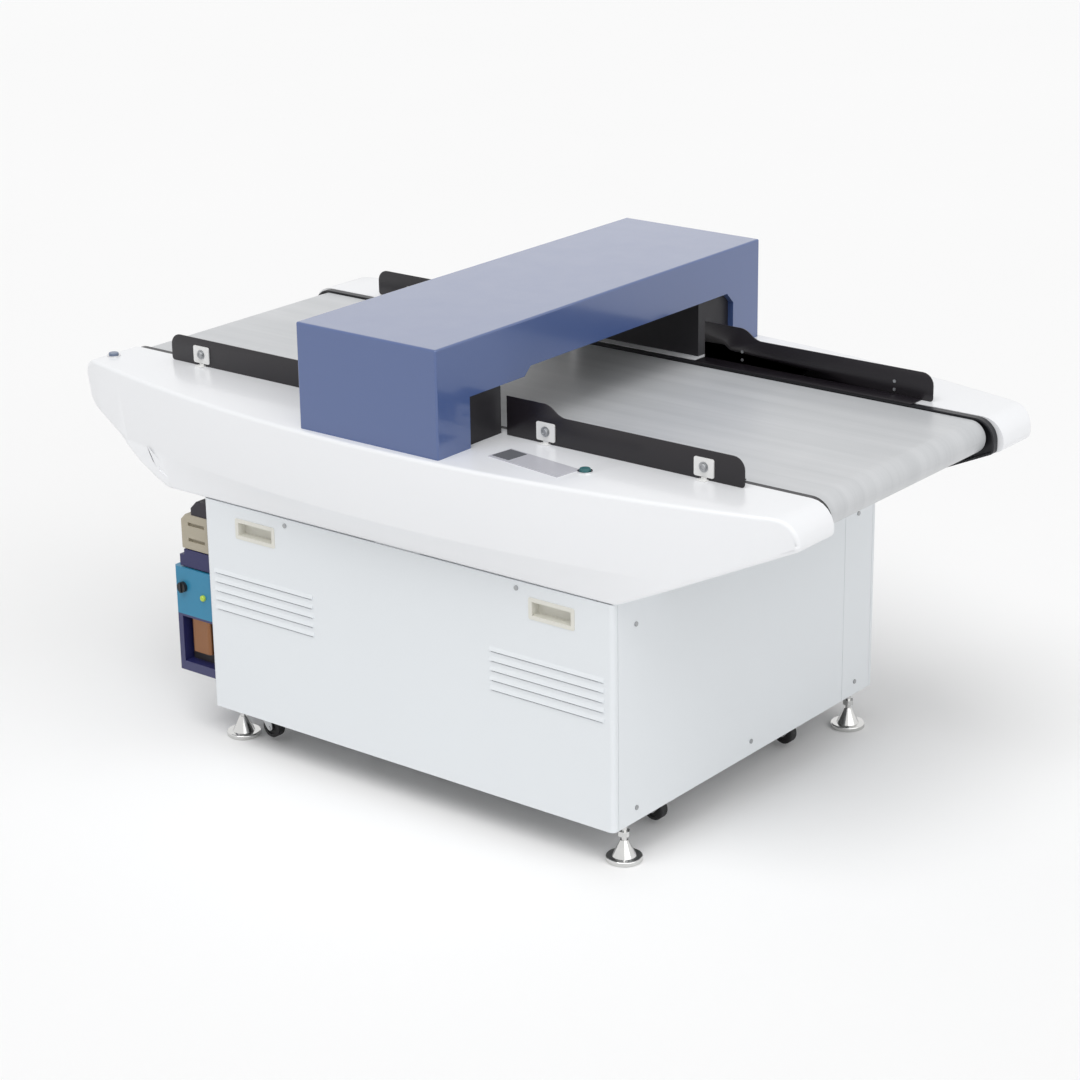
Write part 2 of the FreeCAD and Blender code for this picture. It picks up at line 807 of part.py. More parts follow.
def tunnel_liner():
    """Black duct through the head: outer walls and ceiling, and inner walls in line with the guides."""
    block = prism_x(tunnel_outline(0), -liner_x, liner_x)
    duct = block.cut(prism_x(tunnel_outline(liner_t), -liner_x, liner_x))
    walls = []
    for side in (-1, 1):
        far, near = side * tunnel_half, side * guide_y
        inner = near - side * liner_wall_t
        walls.append(box(-liner_x, liner_x, min(near, inner), max(near, inner),
                         console_top, tunnel_top))
        for x in (-liner_x, liner_x - liner_wall_t):
            walls.append(box(x, x + liner_wall_t, min(near, far), max(near, far),
                             console_top, tunnel_top))
    return fuse_all([duct] + [wall.common(block) for wall in walls])


save("tunnel_liner", tunnel_liner())

upright_y = tunnel_half + 2
upright = box(-upright_x / 2, upright_x / 2, upright_y, upright_y + upright_t, cab_top, tunnel_top)
save("head_uprights", [upright, flip_y(upright)])

coil_y_half = upright_y + upright_t
coil_x = head_x - coil_margin
upper_coil = box(-coil_x, coil_x, -coil_y_half, coil_y_half,
                 tunnel_top, tunnel_top + coil_h)
save("upper_coil", upper_coil.makeChamfer(6, upright_edges(upper_coil)))

half = lower_coil_len / 2
lower_coil = box(-half, half, -frame_in + 1, frame_in - 1, bed_top - lower_coil_h, bed_top)
ears = box(-half, half, -web_in, web_in, bed_top - lower_coil_h, bed_top - lower_coil_h + 8)
save("lower_coil", lower_coil.fuse(ears).removeSplitter())


# ---------------------------------------------------------------- side guides

def guide():
    """Guide plate of the output end, operator side: hump beside the head, foot flange inwards."""
    start = head_x + guide_start_gap
    foot = console_top
    high = foot + guide_hump
    level = foot + guide_h
    outline = [(start, foot, 0), (guide_end, foot, 6), (guide_end, level, guide_corner_r),
               (guide_hump_end + guide_hump_run, level, 12), (guide_hump_end, high, 14),
               (start, high, 0)]
    plate = prism_y(outline, -guide_y, -guide_y + guide_t)
    flange = box(start, guide_end - guide_corner_r, -guide_y + guide_t, -guide_foot_in,
                 foot, foot + guide_t)
    return plate.fuse(flange).removeSplitter()


near_output_guide = guide()
save("near_guides", [near_output_guide, flip_x(near_output_guide)])
save("far_guides", [flip_y(near_output_guide), flip_y(flip_x(near_output_guide))])


def guide_bracket(x):
    """White clamp plate on the guide's outer face, with a stem down to the console."""
    low = console_top + bracket_lift
    half_w = bracket_w / 2
    plate = prism_y([(x - half_w, low, 3), (x + half_w, low, 3),
                     (x + half_w, low + bracket_h, 3), (x - half_w, low + bracket_h, 3)],
                    -guide_y - bracket_t, -guide_y)
    stem = box(x - bracket_stem / 2, x + bracket_stem / 2, -guide_y - bracket_t, -guide_y,
               console_top, low + 1)
    foot = box(x - bracket_stem / 2, x + bracket_stem / 2, -guide_y - 12, -guide_y,
               console_top, console_top + 2)
    return fuse_all([plate, stem, foot])


brackets = []
guide_screws = []
for x in bracket_x:
    brackets += four_ways(guide_bracket(x))
    for rise in guide_screw_z:
        z = console_top + rise
        inner = rod(guide_screw_r, (x, -guide_y + guide_t, z), (0, 1, 0), 1.6)
        guide_screws += four_ways(inner)
save("guide_brackets", brackets)
save("screws", panel_screws() + guide_screws)


# ---------------------------------------------------------------- drive

def loop_outline(far, far_r, near, near_r):
    """Open-belt loop round two circles in X and Z, as a wire at y = 0."""
    span = far - near
    gap = span.Length
    along = V(span).normalize()
    across = V(-along.z, 0, along.x)
    sine = (far_r - near_r) / gap
    cosine = math.sqrt(1 - sine * sine)
    up = across * cosine - along * sine
    down = across * -cosine - along * sine
    a, b = near + up * near_r, far + up * far_r
    c, d = far + down * far_r, near + down * near_r
    return Part.Wire([Part.makeLine(a, b), Part.Arc(b, far + along * far_r, c).toShape(),
                      Part.makeLine(c, d), Part.Arc(d, near - along * near_r, a).toShape()])


drum_centre = V(0, 0, drum_z)
motor_centre = V(motor_x, 0, motor_z)
belt_start = pulley_y + pulley_rim_t + touch / 2
belt_width = drive_belt_w - touch
inner_loop = Part.Face(loop_outline(drum_centre, drum_pulley_r + touch,
                                    motor_centre, motor_pulley_r + touch))
grow = touch + drive_belt_t
outer_loop = Part.Face(loop_outline(drum_centre, drum_pulley_r + grow,
                                    motor_centre, motor_pulley_r + grow))
drive_belt = outer_loop.cut(inner_loop).extrude(V(0, belt_width, 0))
save("drive_belt", drive_belt.translate(V(0, belt_start, 0)))

gearbox_face = pulley_y - 10
gearbox_back = gearbox_face - gearbox_d
half = gearbox / 2
gear_case = box(motor_x - half, motor_x + half, gearbox_back, gearbox_face,
                motor_z - half, motor_z + half)
gear_case = gear_case.makeChamfer(10, [e for e in gear_case.Edges if e.BoundBox.YLength > 1])
motor_case = shaft_y(motor_r, motor_x, motor_z, gearbox_back - motor_l, gearbox_back)
fan_cover = shaft_y(motor_r + 3, motor_x, motor_z, gearbox_back - motor_l - fan_cover_l,
                    gearbox_back - motor_l)
terminal_box = box(motor_x - 40, motor_x + 40, gearbox_back - 120, gearbox_back - 40,
                   motor_z + motor_r - 8, motor_z + motor_r + 32)
shaft_seat = shaft_y(motor_shaft_r + fit, motor_x, motor_z, gearbox_face - motor_shaft_grip,
                     gearbox_face)
gear_motor = fuse_all([gear_case, motor_case, fan_cover, terminal_box]).cut(shaft_seat)
save("gear_motor", gear_motor)
save("motor_pulley", fuse_all([
    pulley(motor_pulley_r, motor_x, motor_z),
    shaft_y(motor_shaft_r, motor_x, motor_z, gearbox_face - motor_shaft_grip + touch,
            pulley_y + pulley_w)]))

stand_top = motor_z - half
stand = box(motor_x - half, motor_x + half, gearbox_back, gearbox_face, floor_z, stand_top)
stand = stand.cut(box(motor_x - half + stand_t, motor_x + half - stand_t, gearbox_back,
                      gearbox_face, floor_z + stand_t, stand_top - stand_t))
save("motor_stand", stand)


# ---------------------------------------------------------------- controls

def turned_plate(length, width, thick, z, shift):
    """Plate on the console, turned with the control panel; shift moves it along the panel."""
    plate = box(-length / 2 + shift, length / 2 + shift, -width / 2, width / 2, 0, thick)
    plate.rotate(V(0, 0, 0), V(0, 0, 1), panel_turn)
    return plate.translate(V(panel_pos[0], panel_pos[1], z))


lens_shift = -panel_l / 2 + lens_l / 2 + 4
control_plate = turned_plate(panel_l, panel_w, plate_t, console_top, 0)
save("control_plate", control_plate)
save("display_lens", turned_plate(lens_l, lens_w, lens_t, console_top + plate_t, lens_shift))


def button_collar(x, y):
    ring = rod(collar_r, (x, y, console_top), (0, 0, 1), collar_h)
    return ring.cut(rod(button_r + touch, (x, y, console_top), (0, 0, 1), collar_h))


def push_button(x, y):
    button = rod(button_r, (x, y, console_top - button_root), (0, 0, 1), button_root + button_h)
    top = [e for e in button.Edges if e.BoundBox.ZMin > console_top + button_h - 1e-6]
    return button.makeFillet(1.5, top)


save("button_collars", [button_collar(*place) for place in button_places])
save("start_button", push_button(*start_button))
save("stop_button", push_button(*stop_button))


# ---------------------------------------------------------------- electrical chassis

def outward(y_range, reach, z_range):
    """Block on the chassis plate, standing out from the input end."""
    back = -cab_x - chassis_t
    return box(-cab_x - reach, back, y_range[0], y_range[1], z_range[0], z_range[1])


def chassis():
    """Folded plate on the input end with a cage for the transformer."""
    plate = box(-cab_x - chassis_t, -cab_x, *chassis_y, *chassis_z)
    cage = outward(cage_y, cage_out, cage_z)
    hollow = box(-cab_x - cage_out + cage_side, -cab_x - chassis_t, *cage_y,
                 cage_z[0] + cage_floor, cage_z[1] - cage_roof)
    return plate.fuse(cage.cut(hollow)).removeSplitter()


save("electrical_chassis", chassis())

inverter_z = (cage_z[1], cage_z[1] + inverter_h)
inverter = outward(cage_y, inverter_out, inverter_z)
inverter = inverter.makeChamfer(inverter_edge, [
    e for e in upright_edges(inverter) if e.BoundBox.XMax < -cab_x - inverter_out + 1])
for i in range(fin_count):
    x = -cab_x - chassis_t - 12 - i * (fin_d + fin_gap)
    inverter = inverter.cut(box(x - fin_d, x, cage_y[0] + 20, cage_y[1],
                                inverter_z[1] - 10, inverter_z[1]))
knob_x = -cab_x - knob_out
knob_stem = rod(4, (knob_x, cage_y[0] - touch, knob_z), (0, 1, 0), 12)
save("speed_inverter", inverter.cut(rod(4 + fit, (knob_x, cage_y[0], knob_z), (0, 1, 0), 12)))
knob = rod(knob_r, (knob_x, cage_y[0] - touch, knob_z), (0, -1, 0), knob_h)
pointer = box(knob_x - 2, knob_x + 2, cage_y[0] - touch - knob_h - 3, cage_y[0] - touch - knob_h,
              knob_z - knob_r + 1, knob_z + knob_r - 1)
save("inverter_knob", fuse_all([knob, pointer, knob_stem]))
lamp = rod(lamp_r, (-cab_x - lamp_out, cage_y[0], lamp_z), (0, -1, 0), lamp_h)
save("inverter_lamp", lamp.makeFillet(3, [
    e for e in lamp.Edges if e.BoundBox.YMax < cage_y[0] - lamp_h + 1e-6]))

relay = outward(relay_y, relay_out, relay_z)
notch = box(-cab_x - relay_out, -cab_x - relay_out + relay_notch, *relay_y,
            relay_z[1] - relay_notch, relay_z[1])
relay = relay.cut(notch)
contactor = outward(contactor_y, contactor_out, contactor_z)
contactor = contactor.makeChamfer(contactor_bevel, [e for e in contactor.Edges if e.BoundBox.YLength > 1
                                       and e.BoundBox.ZMin > contactor_z[1] - 1
                                       and e.BoundBox.XMax < -cab_x - contactor_out + 1])
for z in (contactor_z[0] + slot_inset, contactor_z[1] - slot_inset):
    contactor = contactor.cut(box(-cab_x - contactor_out + 20, -cab_x - 20,
                                  contactor_y[0], contactor_y[0] + slot_d, z - slot_h / 2, z + slot_h / 2))
cap = outward(cap_y, cap_out, (contactor_z[1], contactor_z[1] + cap_h))
cap = cap.makeChamfer(cap_bevel, [e for e in cap.Edges if e.BoundBox.YLength > 1
                           and e.BoundBox.ZMin > contactor_z[1] + cap_h - 1
                           and e.BoundBox.XMax < -cab_x - cap_out + 1])
save("overload_relay", relay)
save("contactor", contactor)
save("contactor_cap", cap)

core_z = cage_z[0] + cage_floor
core_x = -cab_x - chassis_t - 6
core_top = cage_z[1] - cage_roof
yoke = box(core_x - core_w, core_x, *core_y, core_z, core_z + core_yoke)
legs = [box(x - core_leg, x, *core_y, core_z + core_yoke, core_top)
        for x in (core_x, core_x - core_w + core_leg)]
save("transformer_core", fuse_all([yoke] + legs))
winding = box(core_x - core_w + core_leg, core_x - core_leg, *coil_y,
              core_z + core_yoke, core_top)
save("transformer_winding", winding.makeFillet(10, upright_edges(winding)))
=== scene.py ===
# %% [markdown]
# # A conveyor metal detector, dressed in Blender
#
# The machine checks packed goods for bits of metal: a wide belt carries them through a
# blue head, and the head stands on a white cabinet. The CAD model gives every part its
# size and place. This lesson gives the parts their real surfaces, and makes again, with
# softer edges and finer detail, the ones that a plain solid can't show well.
#
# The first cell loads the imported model. It comes with one object for each CAD node, all
# at the origin, and one empty for each moving body, which the new pieces will ride on.

import json
import math

import bmesh
import bpy
from mathutils import Matrix, Vector


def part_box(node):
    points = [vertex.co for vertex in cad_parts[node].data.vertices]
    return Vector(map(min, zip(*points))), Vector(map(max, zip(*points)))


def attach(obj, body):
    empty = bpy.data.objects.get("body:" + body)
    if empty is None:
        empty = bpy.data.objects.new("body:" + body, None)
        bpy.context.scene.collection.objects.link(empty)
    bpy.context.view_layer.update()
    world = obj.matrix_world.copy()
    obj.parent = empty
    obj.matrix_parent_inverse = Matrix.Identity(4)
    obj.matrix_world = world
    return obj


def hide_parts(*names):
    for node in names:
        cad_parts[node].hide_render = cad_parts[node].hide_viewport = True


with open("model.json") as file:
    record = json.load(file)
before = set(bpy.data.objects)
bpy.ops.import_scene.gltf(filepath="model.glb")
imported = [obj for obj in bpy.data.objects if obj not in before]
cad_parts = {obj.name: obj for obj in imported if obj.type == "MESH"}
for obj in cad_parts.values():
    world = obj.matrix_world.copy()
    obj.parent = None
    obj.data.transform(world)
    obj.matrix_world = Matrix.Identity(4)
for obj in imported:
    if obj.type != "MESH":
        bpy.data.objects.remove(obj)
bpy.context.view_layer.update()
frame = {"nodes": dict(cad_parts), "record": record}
cad_nodes = frame["nodes"]
MM = 0.001

# %% [markdown]
# ## The camera
#
# A camera can be aimed with a constraint or turned by hand. Here its place is known as
# three angles and a point, so three turns, one after the other, are the clearest way:
# tilt it up from looking straight down, turn it about the vertical, and roll it slightly.

# %% Set up the camera
VIEW_AZIMUTH, VIEW_ELEVATION, VIEW_ROLL = 38.539, 19.715, -0.846
VIEW_POINT = Vector((3.55755, -4.47680, 2.49924))

camera = bpy.data.objects.new("camera", bpy.data.cameras.new("camera"))
bpy.context.scene.collection.objects.link(camera)
bpy.context.scene.camera = camera
camera.data.sensor_width = 36
camera.data.lens = 93.02
camera.matrix_world = (
    Matrix.Translation(VIEW_POINT)
    @ Matrix.Rotation(math.radians(VIEW_AZIMUTH), 4, "Z")
    @ Matrix.Rotation(math.radians(90 - VIEW_ELEVATION), 4, "X")
    @ Matrix.Rotation(math.radians(VIEW_ROLL), 4, "Z"))
print("camera at", tuple(round(v, 2) for v in VIEW_POINT))

# %% [markdown]
# ## Shader maths as sentences
#
# A finish is a graph of nodes. Wiring it node by node hides the idea behind the plumbing,
# so this small class wraps a socket: writing `mask * 0.3 + 0.1` adds the Math nodes and
# links them. `Finish` holds one material and has one method that adds any other node.

# %% A socket that understands + - * /
class Wire:
    """The output of a node; arithmetic on it adds Math nodes."""

    def __init__(self, finish, socket):
        self.finish = finish
        self.socket = socket

    def maths(self, operation, a, b, clamp=False):
        return self.finish.node("ShaderNodeMath", {"operation": operation, "use_clamp": clamp},
                                {0: a, 1: b})

    def __add__(self, other):
        return self.maths("ADD", self, other)

    def __sub__(self, other):
        return self.maths("SUBTRACT", self, other)

    def __rsub__(self, other):
        return self.maths("SUBTRACT", other, self)

    def __mul__(self, other):
        return self.maths("MULTIPLY", self, other)

    def __truediv__(self, other):
        return self.maths("DIVIDE", self, other)

    def __gt__(self, other):
        return self.maths("GREATER_THAN", self, other)

    def __lt__(self, other):
        return self.maths("LESS_THAN", self, other)

    def power(self, other):
        return self.maths("POWER", self, other)

    def highest(self, other):
        return self.maths("MAXIMUM", self, other)

    def size(self):
        return self.maths("ABSOLUTE", self, 0)

    def ramp(self, low, high):
        """0 below low, 1 above high, straight between."""
        return self.finish.node("ShaderNodeMapRange", {"clamp": True},
                                {"Value": self, "From Min": low, "From Max": high})

    __radd__ = __add__
    __rmul__ = __mul__


# %% A material that builds its own nodes
class Finish:
    """One material: a Principled shader, and the nodes that feed it."""

    def __init__(self, name, fixed):
        self.material = bpy.data.materials.new(name)
        self.material.use_nodes = True
        self.tree = self.material.node_tree
        self.shader = self.tree.nodes["Principled BSDF"]
        for socket, value in fixed.items():
            self.shader.inputs[socket].default_value = value
        self.place = Wire(self, self.tree.nodes.new("ShaderNodeTexCoord").outputs["Object"])

    def feed(self, socket, value):
        """Links a wire to a socket, or sets the socket to a plain value."""
        if isinstance(value, Wire):
            self.tree.links.new(value.socket, socket)
        else:
            socket.default_value = value

    def node(self, kind, settings, sockets, out=0):
        """Adds a node, sets it up, fills its sockets, and returns one output."""
        made = self.tree.nodes.new(kind)
        for key, value in settings.items():
            if key == "stops":
                for spot, (where, colour) in enumerate(value):
                    ramp = made.color_ramp.elements
                    stop = ramp[spot] if spot < 2 else ramp.new(where)
                    stop.position = where
                    stop.color = colour
            else:
                setattr(made, key, value)
        for key, value in sockets.items():
            self.feed(made.inputs[key], value)
        return Wire(self, made.outputs[out])

    def axis(self, letter):
        """X, Y or Z of the point on the machine, in metres."""
        return self.node("ShaderNodeSeparateXYZ", {}, {0: self.place}, "XYZ".index(letter))

    def stretched(self, scale, turn=(0, 0, 0)):
        """The point with each axis scaled, for patterns that run one way."""
        return self.node("ShaderNodeMapping", {}, {"Vector": self.place, "Scale": scale,
                                                   "Rotation": turn})

    def noise(self, scale, detail=3, where=None):
        """Soft cloudy noise from 0 to 1; scale is in spots per metre."""
        return self.node("ShaderNodeTexNoise", {}, {"Vector": where or self.place,
                                                    "Scale": scale, "Detail": detail})

    def blend(self, low, high, mask):
        """One colour where the mask is 0, another where it is 1."""
        return self.node("ShaderNodeMix", {"data_type": "RGBA"}, {0: mask, 6: low, 7: high}, 2)

    def bump(self, height, distance, strength=1.0):
        """Feeds the height, in steps of the distance, to the shader's normal."""
        relief = self.node("ShaderNodeBump", {}, {"Height": height, "Distance": distance,
                                                  "Strength": strength})
        self.feed(self.shader.inputs["Normal"], relief)

    def colour(self, value):
        self.feed(self.shader.inputs["Base Color"], value)

    def rough(self, value):
        self.feed(self.shader.inputs["Roughness"], value)


def tint(colour, factor):
    """A colour made darker or lighter, with its alpha."""
    return tuple(min(1.0, c * factor) for c in colour[:3]) + (1.0,)


print("shader helpers ready")

# %% [markdown]
# ## Floor, backdrop and light
#
# A studio shot on white needs a white surround, but a white world used as a lamp would
# wash the shape out. The Light Path node splits the two: the camera and the reflections
# see plain white, and the surfaces are lit by a dimmer sky and two large soft suns.

# %% Light the stage
SKY_LIGHT = 0.50

world = bpy.data.worlds.new("studio")
bpy.context.scene.world = world
world.use_nodes = True
sky = world.node_tree
sky.nodes.clear()
dim = sky.nodes.new("ShaderNodeBackground")
dim.inputs["Strength"].default_value = SKY_LIGHT
white = sky.nodes.new("ShaderNodeBackground")
white.inputs["Strength"].default_value = 1.0
for background in (dim, white):
    background.inputs["Color"].default_value = (1, 1, 1, 1)
path = sky.nodes.new("ShaderNodeLightPath")
seen = sky.nodes.new("ShaderNodeMath")
seen.operation = "MAXIMUM"
sky.links.new(path.outputs["Is Camera Ray"], seen.inputs[0])
sky.links.new(path.outputs["Is Glossy Ray"], seen.inputs[1])
direct = sky.nodes.new("ShaderNodeMath")
direct.operation = "MAXIMUM"
sky.links.new(seen.outputs[0], direct.inputs[0])
sky.links.new(path.outputs["Is Transmission Ray"], direct.inputs[1])
choice = sky.nodes.new("ShaderNodeMixShader")
sky.links.new(direct.outputs[0], choice.inputs[0])
sky.links.new(dim.outputs[0], choice.inputs[1])
sky.links.new(white.outputs[0], choice.inputs[2])
out = sky.nodes.new("ShaderNodeOutputWorld")
sky.links.new(choice.outputs[0], out.inputs["Surface"])
bpy.context.scene.view_settings.view_transform = "Standard"


def soft_sun(name, strength, azimuth, elevation, spread):
    """A large soft lamp; azimuth 0 shines from the operator's side, 90 from the output end."""
    lamp = bpy.data.objects.new(name, bpy.data.lights.new(name, "SUN"))
    bpy.context.scene.collection.objects.link(lamp)
    lamp.data.energy = strength
    lamp.data.angle = math.radians(spread)
    lamp.matrix_world = (Matrix.Rotation(math.radians(azimuth), 4, "Z")
                         @ Matrix.Rotation(math.radians(90 - elevation), 4, "X"))
    return lamp


soft_sun("key", 1.35, 10, 62, 40)
soft_sun("fill", 0.75, 75, 35, 60)
print("sky", SKY_LIGHT, "with two soft suns")

# %% Lay the floor
floor_mesh = bmesh.new()
bmesh.ops.create_grid(floor_mesh, x_segments=1, y_segments=1, size=30)
floor_data = bpy.data.meshes.new("floor")
floor_mesh.to_mesh(floor_data)
floor_mesh.free()
floor = bpy.data.objects.new("floor", floor_data)
bpy.context.scene.collection.objects.link(floor)
floor_look = Finish("floor_paint", {"Roughness": 0.9, "Specular IOR Level": 0.0})
floor_look.colour(floor_look.blend((0.93, 0.93, 0.93, 1), (0.95, 0.95, 0.95, 1),
                                   floor_look.noise(0.5)))
floor_data.materials.append(floor_look.material)
print("floor laid")

# %% [markdown]
# ## Finishes
#
# Powder coat is the machine's main finish. Under a lamp it isn't flat: the film has a
# fine orange peel, and years of wiping leave a slightly duller, patchy sheen. Noise at two
# scales gives both, the fine one as bump and the broad one in colour and roughness.

# %% Powder coat
def powder_coat(name, colour, roughness=0.35, peel=0.00006, coat=0.0, patchy=0.03, ior=1.5):
    look = Finish(name, {"IOR": ior, "Coat Weight": coat, "Coat Roughness": 0.12})
    broad = look.noise(3.0, 4)
    look.colour(look.blend(tint(colour, 1 - patchy), tint(colour, 1 + patchy), broad))
    smear = look.noise(14.0, 3, look.stretched((1, 1, 0.25)))
    look.rough(smear * 0.10 + (roughness - 0.05))
    look.bump(look.noise(620.0, 2), peel)
    return look.material


print("powder coat ready")

# %% [markdown]
# Moulded plastic is smoother than paint, with a fine spark-eroded grain from its mould.
# A Voronoi pattern gives the tiny cells of that grain, and noise breaks up its gloss.

# %% Moulded plastic
def moulding(name, colour, roughness=0.42, grain=0.00004, cells=900.0, patchy=0.04):
    look = Finish(name, {"IOR": 1.48})
    broad = look.noise(9.0, 3)
    look.colour(look.blend(tint(colour, 1 - patchy), tint(colour, 1 + patchy), broad))
    look.rough(look.noise(40.0, 2) * 0.12 + (roughness - 0.06))
    cell = look.node("ShaderNodeTexVoronoi", {}, {"Vector": look.place, "Scale": cells})
    look.bump(cell, grain)
    return look.material


print("moulded plastic ready")

# %% [markdown]
# Metal shows how it was worked. Turned bars have fine rings about their axis, rolled
# sheet has faint lines along the roll, and zinc plating has a cloudy spangle. Stretching
# the noise along one axis gives lines, and stretching it along a turned part's axis gives rings.

# %% Worked metal
def worked_metal(name, colour, along=(40, 1, 40), roughness=0.34, lines=900.0, depth=0.00002):
    look = Finish(name, {"Metallic": 1.0})
    grain = look.noise(lines / 40, 4, look.stretched(along))
    cloud = look.noise(22.0, 3)
    look.colour(look.blend(tint(colour, 0.86), tint(colour, 1.08), grain * 0.6 + cloud * 0.4))
    look.rough(grain * 0.16 + cloud * 0.08 + (roughness - 0.10))
    look.bump(grain, depth)
    return look.material


def zinc_plate(name, colour):
    look = Finish(name, {"Metallic": 1.0})
    flake = look.node("ShaderNodeTexVoronoi", {}, {"Vector": look.place, "Scale": 120.0}, 1)
    grey = look.node("ShaderNodeRGBToBW", {}, {0: flake})
    look.colour(look.blend(tint(colour, 0.9), tint(colour, 1.08), grey))
    look.rough(grey * 0.14 + 0.32)
    look.bump(look.noise(260.0, 2), 0.00002)
    return look.material


def polished_chrome(name, colour):
    look = Finish(name, {"Metallic": 1.0})
    smudge = look.noise(60.0, 4)
    look.colour(look.blend(tint(colour, 0.95), tint(colour, 1.05), smudge))
    look.rough(smudge * 0.12 + 0.08)
    look.bump(look.noise(400.0, 2), 0.000008)
    return look.material


def cast_metal(name, colour, metallic=0.0, roughness=0.55):
    look = Finish(name, {"Metallic": metallic})
    sand = look.noise(320.0, 5)
    look.colour(look.blend(tint(colour, 0.8), tint(colour, 1.15), sand))
    look.rough(sand * 0.2 + (roughness - 0.1))
    look.bump(sand, 0.0003)
    return look.material


def soft_rubber(name, colour, roughness=0.6):
    look = Finish(name, {"IOR": 1.45})
    dust = look.noise(18.0, 4)
    look.colour(look.blend(tint(colour, 1), tint(colour, 1.5), dust.ramp(0.45, 0.75)))
    look.rough(dust * 0.15 + (roughness - 0.05))
    look.bump(look.noise(700.0, 2), 0.00005)
    return look.material


print("metals and rubber ready")

# %% [markdown]
# The belt is white food-grade belting that has gone grey with use. Goods sliding along it
# leave faint light and dark streaks that run with the belt, so the noise is squeezed
# across and drawn out along X. Its face has the faint weave of the fabric ply below.

# %% Belt finish
def belting(name):
    look = Finish(name, {"IOR": 1.5, "Coat Weight": 0.25, "Coat Roughness": 0.3})
    streak = look.noise(1.0, 4, look.stretched((0.8, 26, 1)))
    fine = look.noise(1.0, 3, look.stretched((5, 160, 1)))
    cloud = look.noise(4.0, 3)
    worn = (streak * 0.5 + fine * 0.2 + cloud * 0.3).ramp(0.3, 0.7)
    look.colour(look.blend((0.455, 0.470, 0.485, 1), (0.60, 0.61, 0.625, 1), worn))
    look.rough(fine * 0.12 + streak * 0.1 + 0.28)
    warp = look.node("ShaderNodeTexWave", {"bands_direction": "X"},
                     {"Vector": look.place, "Scale": 110.0, "Distortion": 0.4})
    weft = look.node("ShaderNodeTexWave", {"bands_direction": "Y"},
                     {"Vector": look.place, "Scale": 110.0, "Distortion": 0.4})
    look.bump(warp * 0.5 + weft * 0.5, 0.00003)
    return look.material


# %% Finishes for the electrical parts
def copper_winding(name):
    look = Finish(name, {"Metallic": 0.7, "Coat Weight": 0.6, "Coat Roughness": 0.2})
    turns = look.node("ShaderNodeTexWave", {"bands_direction": "Z", "wave_profile": "SIN"},
                      {"Vector": look.place, "Scale": 130.0, "Distortion": 0.6})
    look.colour(look.blend((0.10, 0.035, 0.012, 1), (0.42, 0.17, 0.05, 1), turns))
    look.rough(turns * 0.2 + 0.25)
    look.bump(turns, 0.0004)
    return look.material


def laminated_core(name):
    look = Finish(name, {"Metallic": 0.4})
    sheets = look.node("ShaderNodeTexWave", {"bands_direction": "Y", "wave_profile": "SAW"},
                       {"Vector": look.place, "Scale": 320.0, "Distortion": 0.2})
    look.colour(look.blend((0.012, 0.011, 0.013, 1), (0.05, 0.045, 0.05, 1), sheets))
    look.rough(sheets * 0.2 + 0.35)
    look.bump(sheets, 0.00012)
    return look.material


